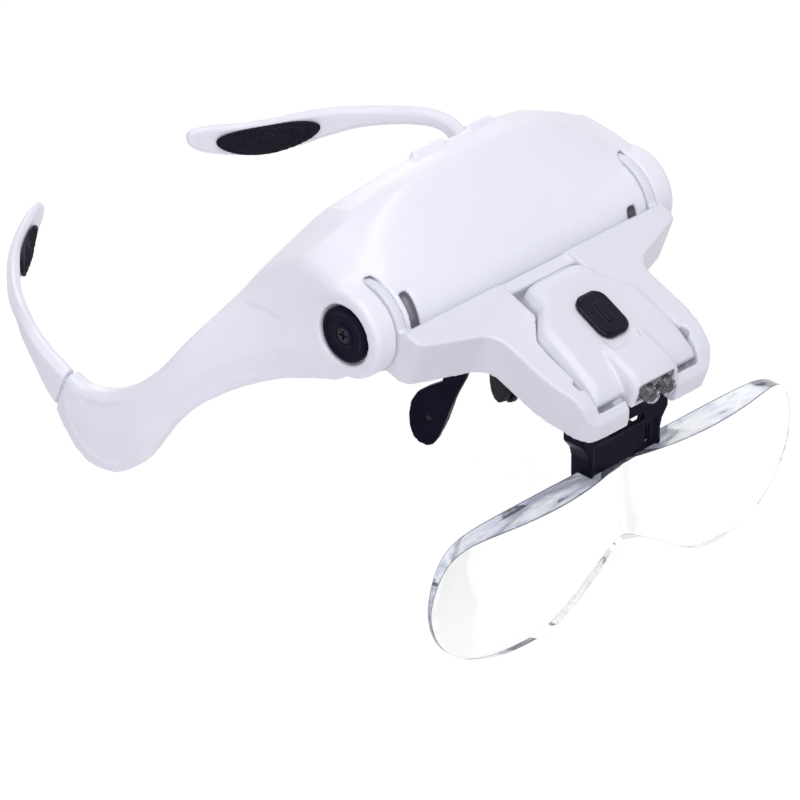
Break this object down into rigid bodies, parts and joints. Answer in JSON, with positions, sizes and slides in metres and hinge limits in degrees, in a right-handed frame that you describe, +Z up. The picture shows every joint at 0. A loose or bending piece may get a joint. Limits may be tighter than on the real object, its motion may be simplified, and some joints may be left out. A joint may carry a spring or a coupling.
{
  "type": "lighted headband magnifier",
  "caption": "Head-worn magnifier: a white brow frame with plug-in temple arms carries a lift-up arm with a tilting lamp and a clear clip-on twin lens.",
  "frame": {"origin": "point in the middle of the brow where the forehead rests on the frame", "axes": "+X to the wearer's left, -Y forwards out of the face, +Z up"},
  "size_m": [0.1706, 0.2146, 0.1179],
  "materials": {
    "white_plastic": "gloss",
    "black_plastic": "gloss",
    "black_rubber": "matte",
    "dark_plastic": "matte",
    "steel": "satin",
    "cell_wrap": "gloss",
    "board": "matte",
    "clear_resin": "gloss",
    "smoke_plastic": "gloss",
    "clear_acrylic": "gloss"
  },
  "bodies": {
    "frame": {"frame_shell": "white_plastic", "forehead_cover": "white_plastic", "battery_tray": "dark_plastic", "battery_cells": "cell_wrap", "battery_contacts": "steel", "cover_screws": "steel", "nose_bracket": "black_plastic", "nose_pad_pins": "steel", "door_hinge_pin": "steel"},
    "arm": {"lens_arm": "white_plastic", "pivot_cap_right": "black_plastic", "pivot_cap_left": "black_plastic", "pivot_screws": "steel"},
    "lamp": {"lamp_cover": "white_plastic", "lamp_base": "white_plastic", "lamp_hinge_pins": "steel", "switch_body": "dark_plastic", "circuit_board": "board", "leds": "clear_resin", "led_window": "smoke_plastic", "lamp_screws": "steel"},
    "switch": {"switch_slider": "black_plastic"},
    "lens_unit": {"lens_clip": "black_plastic", "lens": "clear_acrylic"},
    "temple_right": {"temple_arm_right": "white_plastic", "temple_pad_right": "black_rubber"},
    "temple_left": {"temple_arm_left": "white_plastic", "temple_pad_left": "black_rubber"},
    "pad_right": {"nose_pad_right": "black_rubber"},
    "pad_left": {"nose_pad_left": "black_rubber"},
    "door": {"battery_door": "white_plastic"}
  },
  "joints": [
    {"name": "lens_arm_swing", "type": "hinge", "parent": "frame", "child": "arm", "pos_m": [0, -0.0148, -0.012], "axis": [-1, 0, 0], "range_deg": [-8, 45]},
    {"name": "lamp_tilt", "type": "hinge", "parent": "arm", "child": "lamp", "pos_m": [0, -0.06403, -0.02747], "axis": [1, 0, 0], "range_deg": [0, 30]},
    {"name": "switch_slide", "type": "slide", "parent": "lamp", "child": "switch", "axis": [0, -0.891, -0.454], "range_m": [0, 0.003]},
    {"name": "lens_unclip", "type": "slide", "parent": "arm", "child": "lens_unit", "axis": [0, 0, -1], "range_m": [0, 0.012]},
    {"name": "temple_right_pull", "type": "slide", "parent": "frame", "child": "temple_right", "axis": [-0.1392, 0.8975, 0.4185], "range_m": [0, 0.016]},
    {"name": "temple_left_pull", "type": "slide", "parent": "frame", "child": "temple_left", "axis": [0.1392, 0.8975, 0.4185], "range_m": [0, 0.016]},
    {"name": "nose_pad_right_tilt", "type": "hinge", "parent": "frame", "child": "pad_right", "pos_m": [-0.017, -0.0059, -0.0582], "axis": [0.9659, 0.2588, 0], "range_deg": [-10, 10]},
    {"name": "nose_pad_left_tilt", "type": "hinge", "parent": "frame", "child": "pad_left", "pos_m": [0.017, -0.0059, -0.0582], "axis": [0.9659, -0.2588, 0], "range_deg": [-10, 10]},
    {"name": "battery_door_swing", "type": "hinge", "parent": "frame", "child": "door", "pos_m": [0, -0.0012, -0.0202], "axis": [-1, 0, 0], "range_deg": [0, 95]}
  ]
}
